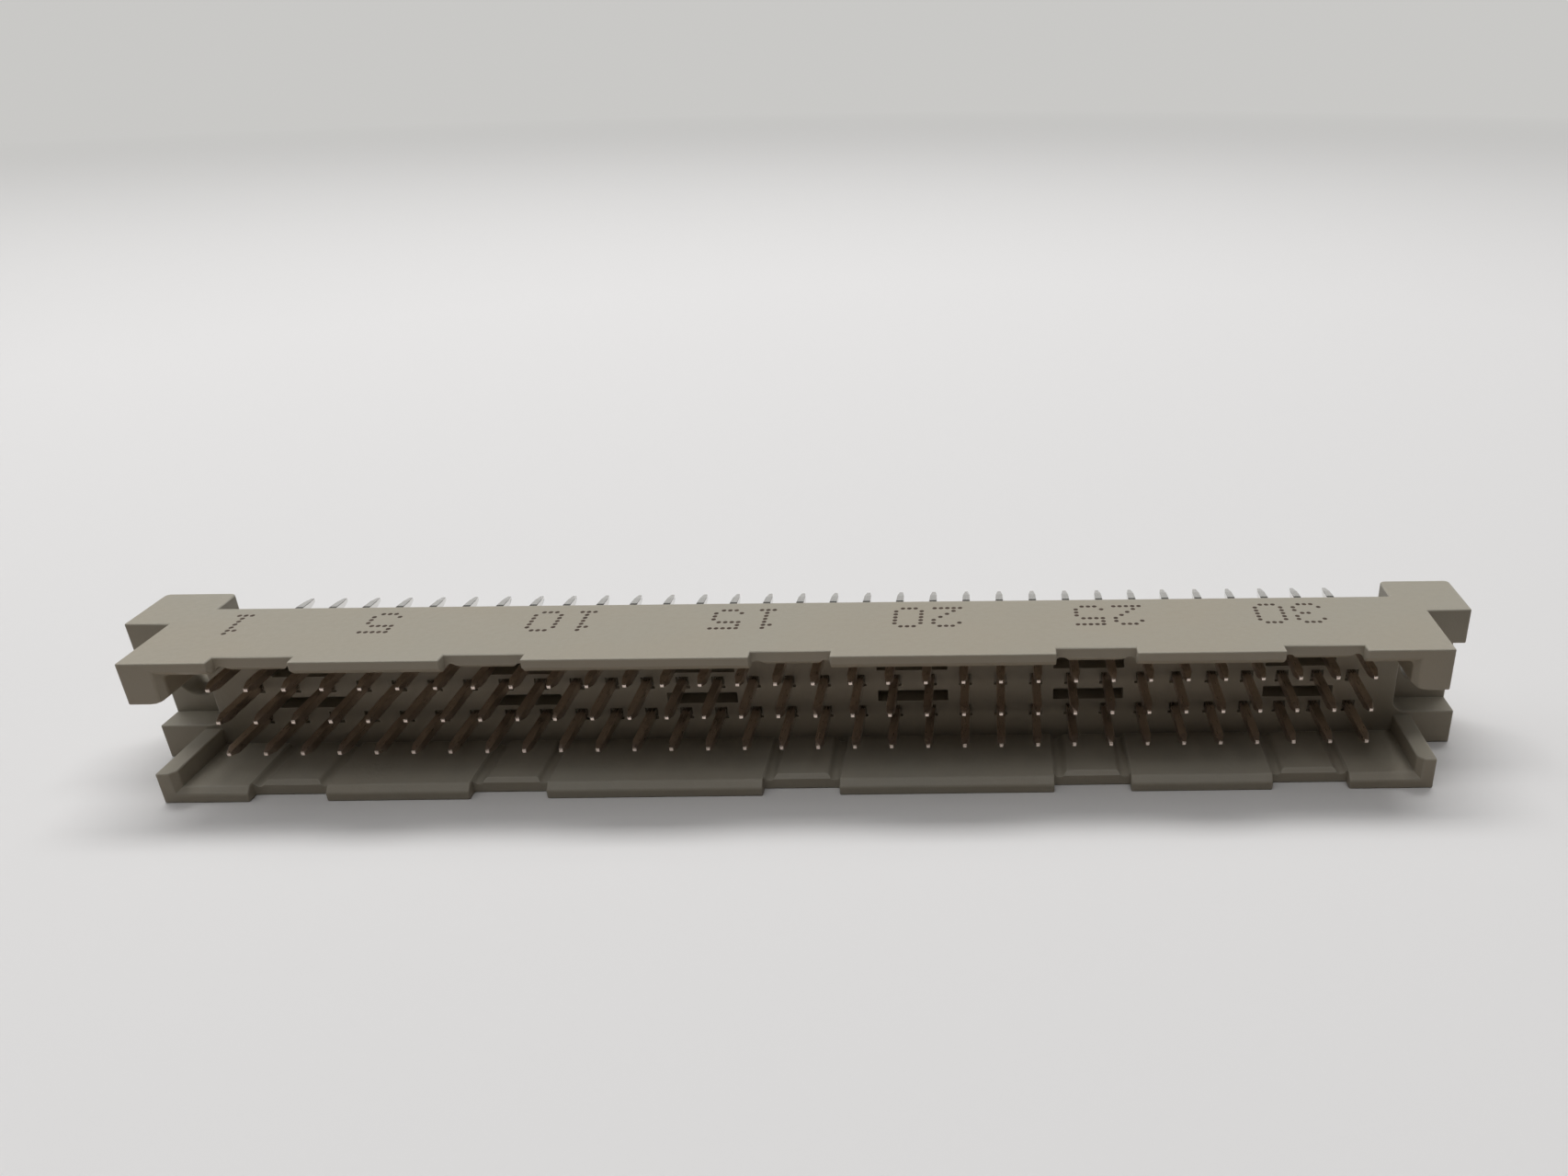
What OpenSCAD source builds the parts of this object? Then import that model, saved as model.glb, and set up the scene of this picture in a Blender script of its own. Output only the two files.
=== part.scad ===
// Straight shrouded male backplane connector, three rows of 32 contacts.
// The origin lies midway between the two fixing holes, in the face that meets the board.
// X runs along the connector, -Y out of the mating mouth, +Y into the board, Z across the rows.

/* [Contacts] */
// Distance between neighbouring contacts, along the connector and between rows
pitch = 2.54; // [2:0.01:2.8]
// Side of a contact's square wire
pin_w = 0.6; // [0.4:0.02:0.9]
// Gap between a contact and each side of the hole that it is pressed into
pin_clear = 0.02; // [0.01:0.01:0.05]
// How far the mating tips lie behind the mouth
tip_recess = 1; // [0.5:0.1:4]
// How far the solder tails reach past the board face
tail_l = 4.3; // [2:0.1:13]
// Length of the taper at each end of a contact
point_l = 0.8; // [0.3:0.1:1.5]
// Side of the small flat at the end of each taper
point_w = 0.26; // [0.1:0.02:0.36]

/* [Housing] */
// Height of the housing across the rows
housing_h = 11; // [9.6:0.1:14]
// Thickness of the two long walls
wall_t = 1.1; // [0.8:0.05:1.5]
// Distance from the last contact to the end face of the shroud
end_margin = 4.73; // [4.4:0.01:7]
// Depth of the mating cavity, from the mouth to the floor
cavity_d = 5.85; // [4.5:0.05:9]
// Thickness of the floor that holds the contacts
floor_t = 2.3; // [1.8:0.1:4]
// Height of the middle row above the line of the fixing holes
row_offset = 0.3; // [0:0.05:0.5]
// Bevel on the inner edges of the mouth
lead_in = 0.45; // [0.2:0.05:0.6]

/* [Contact holes] */
// Side of the square recess around each contact, in the cavity's floor
entry_w = 0.95; // [0.9:0.05:1.2]
// Depth of that recess
entry_d = 0.3; // [0.1:0.05:0.6]

/* [Coding] */
// Width of each notch in the mouth's long edges
notch_w = 5.35; // [5:0.05:6]
// Depth of each notch, measured from the mouth
notch_d = 0.85; // [0.5:0.05:1.5]
// Bevel on the inner edge of each notch
notch_bevel = 0.28; // [0.1:0.02:0.3]
// Radius of the two grooves that run back along the wall from the sides of each notch
groove_r = 0.4; // [0.32:0.02:0.5]
// Radius of the rounded edge between a groove and the wall beside it
groove_edge_r = 0.35; // [0.1:0.05:0.6]
// Height of the slots sunk in the floor between the rows
slot_h = 0.9; // [0.5:0.05:1]
// Depth of those slots
slot_d = 1.4; // [0.6:0.1:1.6]

/* [End walls] */
// Thickness of the hooks that hang from the upper wall at both ends
hook_t = 2.6; // [1.8:0.1:3.2]
// Height of the hooks, from the housing's upper face down
hook_h = 3.1; // [2.4:0.1:3.3]
// Width and height of the curve on the hooks' lower inner edge
hook_curve_w = 1.2; // [0.6:0.1:1.6]
hook_curve_h = 0.45; // [0.2:0.05:0.55]
// Fillet between the hooks and the upper wall
hook_fillet = 0.3; // [0.1:0.1:0.6]
// Thickness of the low end walls
end_wall_t = 1.3; // [0.9:0.1:1.8]
// Height of the low end walls, from the housing's lower face up
end_wall_h = 2.4; // [1.6:0.1:3]

/* [Ears] */
// How far an ear stands out past the shroud's end face
ear_out = 3.15; // [2.6:0.05:6]
// How far an ear reaches in behind the shroud's end face
ear_in = 2; // [1.4:0.1:2.4]
// Length of an ear, from its front face to the board face
ear_d = 4.85; // [4.4:0.05:8]
// Radius of an ear's upright edges at the board face
ear_r = 0.4; // [0.1:0.1:0.8]
// Height of the nut pocket in an ear's front face
pocket_h = 5.6; // [4:0.1:7]
// How far the nut pocket reaches in behind the shroud's end face
pocket_in = 1.4; // [0.8:0.1:2]
// Depth of the nut pocket
pocket_d = 2; // [1:0.1:2.6]
// Radius of the nut pocket's inner corners
pocket_r = 0.9; // [0.2:0.1:1.4]
// Diameter of a fixing hole
hole_d = 2.8; // [2.2:0.1:3.2]
// Distance from the shroud's end face out to the axis of the fixing hole
hole_out = 0.9; // [0.6:0.05:1]

/* [Hidden] */
positions = 32;
rows = ["a", "b", "c"];
// Places of the notches and of the slots, counted in pitches from the middle
notch_places = [-14, -8, 0, 8, 14];
slot_places = [-14, -8, -3, 3, 8, 14];
slot_w = 2 * pitch;

// How far a cutting shape runs past the face that it cuts
over = 0.5;
// Largest turn between two points of a rounded outline
arc_step = 15;

grid_l = (positions - 1) * pitch;
end_x = grid_l / 2 + end_margin;
top_z = housing_h / 2;
wall_z = top_z - wall_t;
floor_y = -ear_d;
back_y = floor_y + floor_t;
mouth_y = floor_y - cavity_d;
tip_y = mouth_y + tip_recess;
hole_w = pin_w + 2 * pin_clear;
hook_x = end_x - hook_t;
hook_z = top_z - hook_h;
hook_r = (hook_curve_w ^ 2 + hook_curve_h ^ 2) / (2 * hook_curve_h);
hook_turn = asin(hook_curve_w / hook_r);
end_wall_x = end_x - end_wall_t;
end_wall_z = end_wall_h - top_z;

function two_digits(n) = str(n < 10 ? "0" : "", n);
function contact_node(n) = str("contacts_", two_digits(n));
function column_x(n) = (n - (positions + 1) / 2) * pitch;
function row_z(r) = row_offset + (1 - r) * pitch;
function arc(centre, r, from, to) =
  let (steps = ceil(abs(to - from) / arc_step))
  [
    for (i = [0:steps])
      let (a = from + (to - from) * i / steps)
      centre + r * [cos(a), sin(a)]
  ];
function mirrored(points) = [for (i = [len(points) - 1:-1:0]) [-points[i].x, points[i].y]];

// An outline in X and Z, drawn out from y1 back to y0
module along_y(y0, y1) {
  translate([0, y1, 0])
    rotate([90, 0, 0])
      linear_extrude(y1 - y0) children();
}

// An outline in Y and Z, drawn out to both sides of the middle
module along_x(half_l) {
  rotate([90, 0, 90])
    linear_extrude(2 * half_l, center = true) children();
}

module box(low, high) {
  translate(low) cube(high - low);
}

// The same shape mirrored to the other end
module both_ends() {
  children();
  mirror([1, 0, 0]) children();
}

// The same shape in the upper and the lower wall
module both_walls() {
  children();
  mirror([0, 0, 1]) children();
}

// Half of the cavity's section, from the lower wall round by the open end to the upper wall
cavity_half = concat(
  [[end_wall_x, -wall_z], [end_wall_x, end_wall_z], [end_x + over, end_wall_z], [end_x + over, hook_z]],
  arc([hook_x + hook_curve_w, hook_z + hook_r], hook_r, 270, 270 - hook_turn),
  arc([hook_x - hook_fillet, wall_z - hook_fillet], hook_fillet, 0, 90)
);

module cavity() {
  along_y(mouth_y - over, floor_y)
    polygon(concat(cavity_half, mirrored(cavity_half)));
}

// The lower half of the mouth flares towards the end walls as well as the long wall
module lower_lead_in() {
  intersection() {
    along_x(end_x)
      polygon([
        [mouth_y - over, -wall_z - lead_in - over],
        [mouth_y + lead_in, -wall_z],
        [mouth_y + lead_in, end_wall_z],
        [mouth_y - over, end_wall_z]
      ]);
    translate([0, 0, -top_z])
      linear_extrude(end_wall_h)
        polygon([
          [-end_wall_x - lead_in - over, mouth_y - over],
          [end_wall_x + lead_in + over, mouth_y - over],
          [end_wall_x, mouth_y + lead_in],
          [-end_wall_x, mouth_y + lead_in]
        ]);
  }
}

// A bevel on the upper wall's inner edge, where that edge lies at y
module upper_bevel(y, size, half_l) {
  along_x(half_l)
    polygon([
      [y - over, wall_z + size + over],
      [y + size, wall_z],
      [y - over, wall_z]
    ]);
}

// The upper half of the mouth, whose bevel runs out at 45 degrees before it meets the hooks
module upper_lead_in() {
  x0 = hook_x - hook_fillet;
  x1 = x0 - lead_in - over;
  z1 = wall_z + lead_in + over;
  intersection() {
    upper_bevel(mouth_y, lead_in, x0);
    along_y(mouth_y - over, floor_y)
      polygon([[-x0, wall_z], [x0, wall_z], [x1, z1], [-x1, z1]]);
  }
}

// Section of the groove at the +X side of a notch: flush with that side, and rounded over on the other
groove_turn = asin(groove_edge_r / (groove_r + groove_edge_r));
groove_x = notch_w / 2 - groove_r;
groove_edge_x = groove_x - (groove_r + groove_edge_r) * cos(groove_turn);
groove_section = concat(
  [[groove_edge_x, wall_z - over], [notch_w / 2, wall_z - over]],
  arc([groove_x, wall_z], groove_r, 0, 180 - groove_turn),
  arc([groove_edge_x, wall_z + groove_edge_r], groove_edge_r, -groove_turn, -90)
);

// One coding notch in the middle of the upper wall, with its pair of grooves
module notch() {
  box([-notch_w / 2, mouth_y - over, wall_z - over], [notch_w / 2, mouth_y + notch_d, top_z + over]);
  upper_bevel(mouth_y + notch_d, notch_bevel, groove_x);
  both_ends()
    along_y(mouth_y - over, floor_y) polygon(groove_section);
}

module floor_slots() {
  for (place = slot_places, side = [-1, 1]) {
    z = row_offset + side * pitch / 2;
    box(
      [place * pitch - slot_w / 2, floor_y - over, z - slot_h / 2],
      [place * pitch + slot_w / 2, floor_y + slot_d, z + slot_h / 2]
    );
  }
}

module square_hole(w, y0, y1) {
  box([-w / 2, y0, -w / 2], [w / 2, y1, w / 2]);
}

module contact_holes() {
  for (n = [1:positions], r = [0:len(rows) - 1])
    translate([column_x(n), 0, row_z(r)]) {
      square_hole(hole_w, floor_y - over, back_y + over);
      square_hole(entry_w, floor_y - over, floor_y + entry_d);
    }
}

// An ear's plan, with its two upright edges at the board face rounded
module ear_blank() {
  x0 = end_x - ear_in;
  x1 = end_x + ear_out;
  translate([0, 0, -top_z])
    linear_extrude(housing_h)
      polygon(concat(
        [[x0, floor_y], [x1, floor_y]],
        arc([x1 - ear_r, -ear_r], ear_r, 0, 90),
        arc([x0 + ear_r, -ear_r], ear_r, 90, 180)
      ));
}

// The nut pocket, open towards the mouth and the end, and the fixing hole in its bottom
module ear_cuts() {
  x0 = end_x - pocket_in + pocket_r;
  x1 = end_x + ear_out + over;
  z1 = pocket_h / 2;
  along_y(floor_y - over, floor_y + pocket_d)
    polygon(concat(
      [[x1, -z1], [x1, z1]],
      arc([x0, z1 - pocket_r], pocket_r, 90, 180),
      arc([x0, pocket_r - z1], pocket_r, 180, 270)
    ));
  translate([end_x + hole_out, over, 0])
    rotate([90, 0, 0])
      cylinder(h = ear_d, d = hole_d, $fn = 48);
}

module housing() {
  color([0.56, 0.53, 0.46])
    difference() {
      union() {
        box([-end_x, mouth_y, -top_z], [end_x, back_y, top_z]);
        both_ends() ear_blank();
      }
      cavity();
      lower_lead_in();
      upper_lead_in();
      both_walls()
        for (place = notch_places) translate([place * pitch, 0, 0]) notch();
      floor_slots();
      contact_holes();
      both_ends() ear_cuts();
    }
}

// One straight contact on the Y axis: square wire, tapered on four sides at both ends
module contact() {
  profile = [
    [tip_y, -point_w / 2],
    [tip_y + point_l, -pin_w / 2],
    [tail_l - point_l, -pin_w / 2],
    [tail_l, -point_w / 2],
    [tail_l, point_w / 2],
    [tail_l - point_l, pin_w / 2],
    [tip_y + point_l, pin_w / 2],
    [tip_y, point_w / 2]
  ];
  intersection() {
    along_x(pin_w) polygon(profile);
    rotate([0, 0, 90])
      linear_extrude(2 * pin_w, center = true)
        polygon(profile);
  }
}

// The contacts of one position, one in each row
module contact_set(n) {
  color([0.8, 0.78, 0.72])
    for (r = [0:len(rows) - 1])
      translate([column_x(n), 0, row_z(r)]) contact();
}

housing();
for (n = [1:positions])
  contact_set(n);
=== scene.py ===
"""Looks of a straight shrouded backplane connector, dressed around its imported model."""

import math

import bmesh
import bpy
from mathutils import Euler, Matrix, Vector


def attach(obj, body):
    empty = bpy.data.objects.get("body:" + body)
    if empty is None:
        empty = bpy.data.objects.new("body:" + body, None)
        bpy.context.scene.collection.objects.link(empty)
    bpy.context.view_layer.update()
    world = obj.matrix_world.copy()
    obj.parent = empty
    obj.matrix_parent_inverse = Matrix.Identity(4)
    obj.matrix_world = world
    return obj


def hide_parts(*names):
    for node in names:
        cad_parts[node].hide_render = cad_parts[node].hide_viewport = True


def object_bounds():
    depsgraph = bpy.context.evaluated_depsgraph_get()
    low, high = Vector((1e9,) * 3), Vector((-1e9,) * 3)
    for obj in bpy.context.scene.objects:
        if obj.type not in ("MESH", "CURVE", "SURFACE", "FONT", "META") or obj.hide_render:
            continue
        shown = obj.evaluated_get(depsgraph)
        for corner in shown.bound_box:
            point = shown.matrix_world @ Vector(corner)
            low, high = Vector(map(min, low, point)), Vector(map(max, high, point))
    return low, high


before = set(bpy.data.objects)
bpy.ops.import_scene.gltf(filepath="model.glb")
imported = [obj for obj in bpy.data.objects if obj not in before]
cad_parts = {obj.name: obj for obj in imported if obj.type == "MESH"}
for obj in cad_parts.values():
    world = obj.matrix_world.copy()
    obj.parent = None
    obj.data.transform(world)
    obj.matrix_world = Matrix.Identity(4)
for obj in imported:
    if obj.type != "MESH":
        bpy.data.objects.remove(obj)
cad_low, cad_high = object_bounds()

MM = 0.001

# The photograph's width in pixels, where its lens axis meets it, and its focal length
FRAME_W = 1706
AXIS_U = 1090
FOCAL_PX = 1296
SENSOR_MM = 36

# The camera in millimetres and degrees, from the origin between the fixing holes
CAMERA_AT = Vector((13.46, -79.65, 43.07))
CAMERA_PITCH = -25.39
CAMERA_YAW = -0.5
CAMERA_ROLL = -0.4
CLIP_NEAR = 1
CLIP_FAR = 10000

# Places on the moulding, in millimetres: FIELD_X is half the length of the field of contacts
MOUTH_Y = -10.7
NOTCH_Y = -9.85
FLOOR_Y = -4.85
WALL_Z = 4.4
HOOK_X = 41.5
FIELD_X = 41
ROW_Z = 0.3
POSITIONS = 32
PITCH = 2.54

# The bevel on the upper lip, carried on round the corner and down the hooks.
# The wedges that cut it start on the lip, end below the hooks and reach a little past the faces.
LEAD_IN = 0.45
LEAD_FROM_X = 40.6
LEAD_TO_Z = 1
LEAD_SPARE = 0.2

# Edges of the moulding: their radius, the turn in degrees that makes an edge, and what counts as flat
EDGE_R = 0.1
EDGE_STEPS = 3
EDGE_TURN = 25
FLAT_TURN = 1
JOIN_DIST = 0.001

# Edges that stay sharp: below the floor and clear of the walls, or on the rim inside a notch
FLOOR_SLACK = 0.01
WALL_SLACK = 0.1
RIM_DEPTHS = (-0.02, 0.4)
RIM_H = 0.6

# Edges of the wires, and the turn in degrees that makes one
WIRE_EDGE_R = 0.05
WIRE_EDGE_STEPS = 2
WIRE_EDGE_TURN = 10

# Points of the solder tails: where they start and narrow on Y, and how much is left there
POINT_FROM_Y = 2.45
NARROW_Y = 3.5
NARROW_SLACK = 0.1
NARROW_X = 0.9
NARROW_Z = 0.72

# Ink marks: the first and every fifth position are numbered, to be read from the tail side
NUMBERED = (1, 5, 10, 15, 20, 25, 30)
DOT_D = 0.41
DOT_SIDES = 10
DOT_STEP = Vector((0.45, 0.46))
DOT_H = 0.012
MARK_Y = -5.1
DIGIT_STEP = 6
DIGIT_MIDDLE_ROW = 3
DIGITS = {
    "0": (".XXX.", "X...X", "X...X", "X...X", "X...X", "X...X", ".XXX."),
    "1": ("..X..", ".XX..", "..X..", "..X..", "..X..", "..X..", ".XXX."),
    "2": (".XXX.", "X...X", "....X", "...X.", "..X..", ".X...", "XXXXX"),
    "3": (".XXX.", "X...X", "....X", "..XX.", "....X", "X...X", ".XXX."),
    "5": ("XXXXX", "X....", "XXXX.", "....X", "....X", "X...X", ".XXX."),
}

# Colours, as linear light
PLASTIC = (0.365, 0.34, 0.282)
PLASTIC_WARM = (0.372, 0.335, 0.27)
# Paler colour for the edges: partly wear, partly a painted highlight along them
PLASTIC_WEAR_AND_HIGHLIGHT = (0.47, 0.445, 0.385)
PIN_PLATING = (0.64, 0.54, 0.47)
TIN = (0.78, 0.77, 0.75)
INK = (0.045, 0.03, 0.022)
INK_THIN = (0.099, 0.066, 0.0484)
FLOOR = (0.76, 0.75, 0.745)
FLOOR_BOUNCE = (0.47, 0.41, 0.355)
BACKGROUND = (0.585, 0.58, 0.565)

# The part of a noise's range that is spread over the whole effect
NOISE_RANGE = (0.3, 0.7)

# Plastic: sizes and depths of its clouds, grain and pores in millimetres
CLOUD_SIZE = 9
GRAIN_SIZE = 0.09
GRAIN_DEPTH = 0.012
PORE_SIZE = 0.5
PORE_DEPTH = 0.02
PLASTIC_ROUGHNESS = (0.36, 0.48)
PLASTIC_GLOSS = 0.33

# Paler edges, partly wear and partly a painted highlight along the edge: how far in they show, the
# cosine of the turn from untouched to paler, and how much
WEAR_AND_HIGHLIGHT_R = 0.25
WEAR_AND_HIGHLIGHT_TURN = (0.995, 0.9)
WEAR_AND_HIGHLIGHT_SHARE = 0.45

# Wire: where the plating changes on Y, and the lines drawn out along it, in millimetres
PLATING_CHANGE = (-5.2, -3.6)
LINE_SIZE = 0.06
LINE_STRETCH = (1, 0.06, 1)
LINE_DEPTH = 0.0004
LINE_ROUGHNESS = 0.06
PIN_ROUGHNESS = 0.27
TAIL_ROUGHNESS = 0.13

# Ink: the size of its thin patches in millimetres, and the noise that makes them
PATCH_SIZE = 0.2
PATCH_RANGE = (0.35, 0.75)
INK_ROUGHNESS = 0.7

# Floor, in millimetres: it is lit near the part and turns into the background further out
FLOOR_R = 1500
FLOOR_SIDES = 96
FLOOR_LIT = (170, 700)
FLOOR_ROUGHNESS = 0.8
FLOOR_GLOSS = 0.2

# World: its even light, and the directions on Y and Z in which a mirror sees it fade to dim
AMBIENT = 0.02
MIRRORED_SIDES = (-0.2, 0.4)
MIRRORED_HEIGHTS = (0.3, 0.36)
MIRRORED_DIM = 0.15

# Ceiling panels: place, sides along X and Y, power, and whether surfaces mirror them
PANELS = (
    ("strip_panel", Vector((-20, 230, 600)), (700, 140), 2.85, False),
    ("top_panel", Vector((0, 150, 900)), (1100, 900), 3.05, True),
    ("front_panel", Vector((0, -440, 850)), (900, 320), 1.3, True),
    ("left_panel", Vector((-500, 100, 500)), (300, 600), 0.85, True),
)


def new_material(name):
    """An empty node material, with its tree and its principled shader."""
    material = bpy.data.materials.new(name)
    material.use_nodes = True
    tree = material.node_tree
    shader = tree.nodes["Principled BSDF"]
    return material, tree, shader


def feed(tree, socket, value):
    """Link a socket to another one, or set it to a plain value."""
    if isinstance(value, bpy.types.NodeSocket):
        tree.links.new(value, socket)
    else:
        socket.default_value = value


def opaque(colour):
    """A colour with full cover, or a colour socket as it is."""
    if isinstance(colour, bpy.types.NodeSocket):
        return colour
    return (*colour, 1)


def node(tree, kind, **inputs):
    """A node of that kind, with values or links for its inputs by name."""
    made = tree.nodes.new(kind)
    for name, value in inputs.items():
        feed(tree, made.inputs[name], value)
    return made


def maths(tree, operation, first, second):
    """One sum on two values or sockets."""
    made = tree.nodes.new("ShaderNodeMath")
    made.operation = operation
    feed(tree, made.inputs[0], first)
    feed(tree, made.inputs[1], second)
    return made.outputs[0]


def vector_maths(tree, operation, first):
    """A node for one sum on a vector socket."""
    made = tree.nodes.new("ShaderNodeVectorMath")
    made.operation = operation
    tree.links.new(first, made.inputs[0])
    return made


def millimetres(tree):
    """Object coordinates in millimetres."""
    place = tree.nodes.new("ShaderNodeTexCoord")
    scaled = vector_maths(tree, "SCALE", place.outputs["Object"])
    scaled.inputs["Scale"].default_value = 1 / MM
    return scaled.outputs[0]


def noise(tree, place, size, detail):
    """Noise whose features are about that many millimetres across."""
    made = node(tree, "ShaderNodeTexNoise", Vector=place, Scale=1 / size, Detail=detail)
    return made.outputs["Fac"]


def ramp(tree, value, low, high, to_low=0.0, to_high=1.0):
    """A value mapped from one range to another, and held at its ends."""
    made = tree.nodes.new("ShaderNodeMapRange")
    tree.links.new(value, made.inputs["Value"])
    made.inputs["From Min"].default_value = low
    made.inputs["From Max"].default_value = high
    made.inputs["To Min"].default_value = to_low
    made.inputs["To Max"].default_value = to_high
    return made.outputs["Result"]


def mix_colours(tree, share, first, second):
    """Two colours, or colour sockets, mixed by a share."""
    made = tree.nodes.new("ShaderNodeMix")
    made.data_type = "RGBA"
    tree.links.new(share, made.inputs["Factor"])
    feed(tree, made.inputs["A"], opaque(first))
    feed(tree, made.inputs["B"], opaque(second))
    return made.outputs["Result"]


def bump(tree, height, depth, normal=None):
    """A bump of that depth in millimetres, laid over another if one is given."""
    made = node(tree, "ShaderNodeBump", Height=height, Strength=1.0, Distance=depth * MM)
    if normal:
        tree.links.new(normal, made.inputs["Normal"])
    return made.outputs["Normal"]


def rubbed_edges(tree):
    """How pale the edges are, partly wear and partly a painted highlight: more where the surface turns
    within a short way.
    """
    soft = node(tree, "ShaderNodeBevel", Radius=WEAR_AND_HIGHLIGHT_R * MM)
    facing = tree.nodes.new("ShaderNodeNewGeometry")
    turn = vector_maths(tree, "DOT_PRODUCT", soft.outputs["Normal"])
    tree.links.new(facing.outputs["Normal"], turn.inputs[1])
    return ramp(tree, turn.outputs["Value"], *WEAR_AND_HIGHLIGHT_TURN, 0, WEAR_AND_HIGHLIGHT_SHARE)


def moulded_plastic():
    """Grey-beige plastic: fine mould grain, faint flow clouds, paler edges that are partly wear and
    partly a painted highlight.
    """
    material, tree, shader = new_material("moulded_plastic")
    place = millimetres(tree)
    clouds = ramp(tree, noise(tree, place, CLOUD_SIZE, 3), *NOISE_RANGE)
    colour = mix_colours(tree, clouds, PLASTIC, PLASTIC_WARM)
    # Paler edges: partly wear, partly a painted highlight where the surface turns
    colour = mix_colours(tree, rubbed_edges(tree), colour, PLASTIC_WEAR_AND_HIGHLIGHT)
    tree.links.new(colour, shader.inputs["Base Color"])
    grain = noise(tree, place, GRAIN_SIZE, 2)
    pores = noise(tree, place, PORE_SIZE, 2)
    roughness = ramp(tree, pores, *NOISE_RANGE, *PLASTIC_ROUGHNESS)
    tree.links.new(roughness, shader.inputs["Roughness"])
    normal = bump(tree, grain, GRAIN_DEPTH)
    tree.links.new(bump(tree, pores, PORE_DEPTH, normal), shader.inputs["Normal"])
    shader.inputs["Specular IOR Level"].default_value = PLASTIC_GLOSS
    return material


def plated_metal():
    """Drawn wire: a faintly warm plating in the mouth, tin on the tails, fine lines along the draw."""
    material, tree, shader = new_material("plated_contact")
    place = millimetres(tree)
    along = tree.nodes.new("ShaderNodeSeparateXYZ")
    tree.links.new(place, along.inputs[0])
    tinned = ramp(tree, along.outputs["Y"], *PLATING_CHANGE)
    colour = mix_colours(tree, tinned, PIN_PLATING, TIN)
    tree.links.new(colour, shader.inputs["Base Color"])
    stretched = vector_maths(tree, "MULTIPLY", place)
    stretched.inputs[1].default_value = LINE_STRETCH
    lines = noise(tree, stretched.outputs[0], LINE_SIZE, 1)
    drawn = ramp(tree, lines, *NOISE_RANGE, 0, LINE_ROUGHNESS)
    smooth = ramp(tree, tinned, 0, 1, PIN_ROUGHNESS, TAIL_ROUGHNESS)
    tree.links.new(maths(tree, "ADD", smooth, drawn), shader.inputs["Roughness"])
    tree.links.new(bump(tree, lines, LINE_DEPTH), shader.inputs["Normal"])
    shader.inputs["Metallic"].default_value = 1.0
    return material


def printed_ink():
    """Matt dark brown ink that covers a little unevenly."""
    material, tree, shader = new_material("printed_ink")
    patches = ramp(tree, noise(tree, millimetres(tree), PATCH_SIZE, 2), *PATCH_RANGE)
    colour = mix_colours(tree, patches, INK, INK_THIN)
    tree.links.new(colour, shader.inputs["Base Color"])
    shader.inputs["Roughness"].default_value = INK_ROUGHNESS
    return material


def pale_floor():
    """A pale surface that turns into the background colour further out.

    It throws less light back at the part than its own paleness would."""
    material, tree, shader = new_material("pale_floor")
    pale = mix_colours(tree, seen_directly(tree), FLOOR_BOUNCE, FLOOR)
    tree.links.new(pale, shader.inputs["Base Color"])
    shader.inputs["Roughness"].default_value = FLOOR_ROUGHNESS
    shader.inputs["Specular IOR Level"].default_value = FLOOR_GLOSS
    distance = vector_maths(tree, "LENGTH", millimetres(tree))
    far = ramp(tree, distance.outputs["Value"], *FLOOR_LIT)
    glow = node(tree, "ShaderNodeEmission", Color=opaque(BACKGROUND), Strength=seen_directly(tree))
    blend = tree.nodes.new("ShaderNodeMixShader")
    tree.links.new(far, blend.inputs["Fac"])
    tree.links.new(shader.outputs[0], blend.inputs[1])
    tree.links.new(glow.outputs[0], blend.inputs[2])
    tree.links.new(blend.outputs[0], tree.nodes["Material Output"].inputs["Surface"])
    return material


def seen_directly(tree):
    """1 for rays from the camera, a mirror or glass, and 0 for rays that carry light."""
    path = tree.nodes.new("ShaderNodeLightPath")
    total = path.outputs["Is Camera Ray"]
    for name in ("Is Glossy Ray", "Is Transmission Ray"):
        total = maths(tree, "MAXIMUM", total, path.outputs[name])
    return total


def add_object(name, data):
    """A new object in the scene."""
    made = bpy.data.objects.new(name, data)
    bpy.context.scene.collection.objects.link(made)
    return made


def mesh_from(bm, name):
    """A mesh made from an edited one, which is then freed."""
    mesh = bpy.data.meshes.new(name)
    bm.to_mesh(mesh)
    bm.free()
    return mesh


def lead_in_wedges():
    """Wedges that follow the lip round both upper corners of the mouth and down the hooks."""
    section = (
        (-2 * LEAD_SPARE, -LEAD_SPARE),
        (LEAD_IN + LEAD_SPARE, -LEAD_SPARE),
        (-2 * LEAD_SPARE, LEAD_IN + 2 * LEAD_SPARE),
    )
    bm = bmesh.new()
    for side in (-1, 1):
        rings = []
        for along_lip, down_hook in ((True, False), (False, False), (False, True)):
            ring = []
            for out, back in section:
                x = LEAD_FROM_X if along_lip else HOOK_X + out
                z = LEAD_TO_Z if down_hook else WALL_Z + out
                ring.append(bm.verts.new(Vector((side * x, MOUTH_Y + back, z)) * MM))
            rings.append(ring)
        for first, second in zip(rings, rings[1:]):
            for i, j in ((0, 1), (1, 2), (2, 0)):
                bm.faces.new((first[i], first[j], second[j], second[i]))
        bm.faces.new(rings[0])
        bm.faces.new(rings[-1])
    bmesh.ops.recalc_face_normals(bm, faces=bm.faces)
    return mesh_from(bm, "lead_in_wedges")


def cut_mesh(mesh, cutter):
    """A mesh with another one taken out of it."""
    plain = add_object("plain", mesh)
    tool = add_object("tool", cutter)
    cut = plain.modifiers.new("cut", "BOOLEAN")
    cut.operation = "DIFFERENCE"
    cut.solver = "EXACT"
    cut.object = tool
    graph = bpy.context.evaluated_depsgraph_get()
    made = bpy.data.meshes.new_from_object(plain.evaluated_get(graph))
    for helper in (plain, tool):
        bpy.data.objects.remove(helper)
    return made


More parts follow.
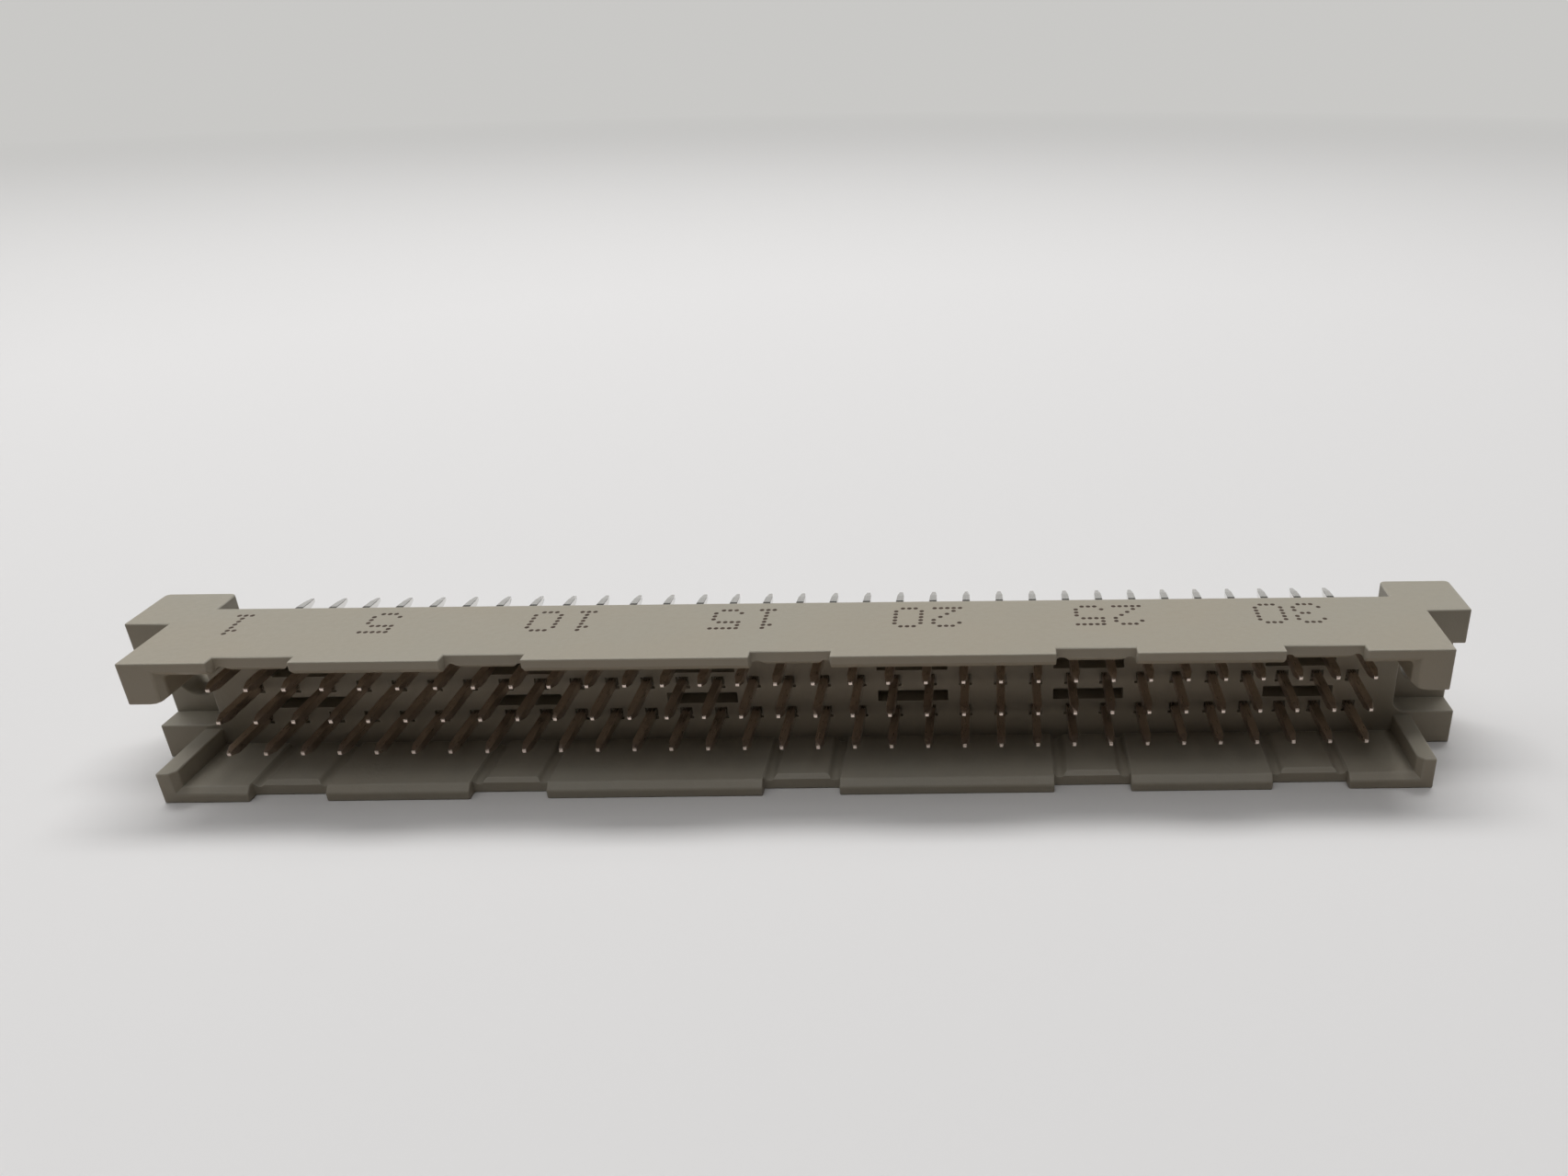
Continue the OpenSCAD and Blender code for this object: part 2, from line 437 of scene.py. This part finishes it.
def stays_sharp(edge):
    """True for the small edges of the contact holes, the slots and the rims inside the notches."""
    middle = (edge.verts[0].co + edge.verts[1].co) / 2 / MM
    height = abs(middle.z)
    in_field = abs(middle.x) < FIELD_X and height < WALL_Z - WALL_SLACK
    in_floor = in_field and middle.y > FLOOR_Y - FLOOR_SLACK
    in_rim = RIM_DEPTHS[0] < middle.y - NOTCH_Y < RIM_DEPTHS[1]
    in_notch = in_rim and height < WALL_Z + RIM_H
    return in_floor or in_notch


def mark_edges(bm):
    """Shade smooth between the edges, and mark the outer edges that are to be rounded."""
    weight = bm.edges.layers.float.new("bevel_weight_edge")
    for face in bm.faces:
        face.smooth = True
    for edge in bm.edges:
        sharp = math.degrees(edge.calc_face_angle(0.0)) > EDGE_TURN
        edge.smooth = not sharp
        if sharp and edge.is_convex and not stays_sharp(edge):
            edge[weight] = 1.0


def rounded_housing():
    """The moulding with its lead-in finished, its flat faces joined and its edges rounded."""
    mesh = cut_mesh(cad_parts["housing"].data.copy(), lead_in_wedges())
    bm = bmesh.new()
    bm.from_mesh(mesh)
    bmesh.ops.remove_doubles(bm, verts=bm.verts, dist=MM * JOIN_DIST)
    bmesh.ops.dissolve_limit(bm, angle_limit=math.radians(FLAT_TURN), verts=bm.verts, edges=bm.edges)
    mark_edges(bm)
    bm.to_mesh(mesh)
    bm.free()
    housing = add_object("rounded_housing", mesh)
    edges = housing.modifiers.new("edges", "BEVEL")
    edges.limit_method = "WEIGHT"
    edges.width = EDGE_R * MM
    edges.segments = EDGE_STEPS
    edges.use_clamp_overlap = False
    normals = housing.modifiers.new("normals", "WEIGHTED_NORMAL")
    normals.keep_sharp = True
    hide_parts("housing")
    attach(housing, "root")
    return housing


def narrow_points(bm):
    """Draw the solder tails in towards their axes, from a ring cut further down."""
    middle_x = sum(vert.co.x for vert in bm.verts) / len(bm.verts)
    everything = bm.verts[:] + bm.edges[:] + bm.faces[:]
    bmesh.ops.bisect_plane(bm, geom=everything, plane_co=(0, POINT_FROM_Y * MM, 0), plane_no=(0, 1, 0))
    for vert in bm.verts:
        if abs(vert.co.y / MM - NARROW_Y) < NARROW_SLACK:
            row = round((vert.co.z / MM - ROW_Z) / PITCH)
            middle_z = (ROW_Z + row * PITCH) * MM
            vert.co.x = middle_x + (vert.co.x - middle_x) * NARROW_X
            vert.co.z = middle_z + (vert.co.z - middle_z) * NARROW_Z


def pointed_wires(name, contacts):
    """The three contacts of one position, with long points on their tails and eased edges."""
    bm = bmesh.new()
    bm.from_mesh(contacts.data)
    bmesh.ops.remove_doubles(bm, verts=bm.verts, dist=MM * JOIN_DIST)
    narrow_points(bm)
    wires = add_object(name, mesh_from(bm, name))
    edges = wires.modifiers.new("edges", "BEVEL")
    edges.limit_method = "ANGLE"
    edges.angle_limit = math.radians(WIRE_EDGE_TURN)
    edges.width = WIRE_EDGE_R * MM
    edges.segments = WIRE_EDGE_STEPS
    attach(wires, "root")
    return wires


def dot(bm, x, y, z):
    """One flat drop of ink, half sunk in the surface so that no gap shows under it."""
    bmesh.ops.create_cone(
        bm,
        cap_ends=True,
        segments=DOT_SIDES,
        radius1=DOT_D / 2 * MM,
        radius2=DOT_D / 3 * MM,
        depth=2 * DOT_H * MM,
        matrix=Matrix.Translation((x, y, z)),
    )


def number_marks(number):
    """Column and row of each dot in a number, counted from the middle of its block."""
    text = str(number)
    last_column = len(text) * DIGIT_STEP - 2
    for place, digit in enumerate(text):
        for row, line in enumerate(DIGITS[digit]):
            for column, mark in enumerate(line):
                if mark == "X":
                    yield place * DIGIT_STEP + column - last_column / 2, row - DIGIT_MIDDLE_ROW


def position_numbers():
    """Plain position numbers in ink dots on the upper face."""
    bm = bmesh.new()
    for number in NUMBERED:
        centre = (number - (POSITIONS + 1) / 2) * PITCH
        for column, row in number_marks(number):
            x = centre - column * DOT_STEP.x
            y = MARK_Y + row * DOT_STEP.y
            dot(bm, x * MM, y * MM, cad_high.z)
    numbers = add_object("position_numbers", mesh_from(bm, "position_numbers"))
    dress(numbers, printed_ink())
    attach(numbers, "root")


def dress(thing, material):
    """Give a piece that one material."""
    thing.data.materials.clear()
    thing.data.materials.append(material)


def stage_floor():
    """The floor under the part."""
    bm = bmesh.new()
    bmesh.ops.create_circle(bm, segments=FLOOR_SIDES, radius=FLOOR_R * MM, cap_ends=True)
    floor = add_object("floor", mesh_from(bm, "floor"))
    floor.location.z = cad_low.z
    dress(floor, pale_floor())


def world_light():
    """The background as it is seen, and a faint even light.

    A mirror sees the pale sweep low behind the part, and a dimmer room above it and in front."""
    world = bpy.data.worlds.new("studio")
    bpy.context.scene.world = world
    world.use_nodes = True
    tree = world.node_tree
    background = tree.nodes["Background"]
    background.inputs["Color"].default_value = opaque(BACKGROUND)
    place = tree.nodes.new("ShaderNodeTexCoord")
    toward = tree.nodes.new("ShaderNodeSeparateXYZ")
    tree.links.new(place.outputs["Generated"], toward.inputs[0])
    behind = ramp(tree, toward.outputs["Y"], *MIRRORED_SIDES, MIRRORED_DIM, 1)
    low = ramp(tree, toward.outputs["Z"], *MIRRORED_HEIGHTS, 1, MIRRORED_DIM)
    mirrored = maths(tree, "MULTIPLY", behind, low)
    path = tree.nodes.new("ShaderNodeLightPath")
    level = maths(tree, "MAXIMUM", mirrored, path.outputs["Is Camera Ray"])
    seen = maths(tree, "MULTIPLY", level, seen_directly(tree))
    tree.links.new(maths(tree, "MAXIMUM", seen, AMBIENT), background.inputs["Strength"])


def lamps():
    """Soft panels overhead: most light from above and behind, less from the front and the left."""
    for name, place, sides, power, mirrored in PANELS:
        data = bpy.data.lights.new(name, "AREA")
        data.shape = "RECTANGLE"
        data.size, data.size_y = (side * MM for side in sides)
        data.energy = power
        panel = add_object(name, data)
        panel.location = place * MM
        panel.visible_glossy = mirrored


def camera():
    """The photograph's camera."""
    data = bpy.data.cameras.new("camera")
    data.sensor_width = SENSOR_MM
    data.lens = FOCAL_PX / FRAME_W * SENSOR_MM
    data.shift_x = 0.5 - AXIS_U / FRAME_W
    data.clip_start = CLIP_NEAR * MM
    data.clip_end = CLIP_FAR * MM
    made = add_object("camera", data)
    made.location = CAMERA_AT * MM
    turn = Euler((math.radians(90 + CAMERA_PITCH), 0, math.radians(CAMERA_YAW)), "XYZ").to_matrix()
    roll = Euler((0, 0, math.radians(CAMERA_ROLL)), "XYZ").to_matrix()
    made.rotation_euler = (turn @ roll).to_euler()
    bpy.context.scene.camera = made


camera()
dress(rounded_housing(), moulded_plastic())
metal = plated_metal()
for name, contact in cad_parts.items():
    if name.startswith("contacts_"):
        wires = pointed_wires(name.replace("contacts", "wires"), contact)
        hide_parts(name)
        dress(wires, metal)
position_numbers()
stage_floor()
world_light()
lamps()
bpy.context.scene.view_settings.view_transform = "Standard"
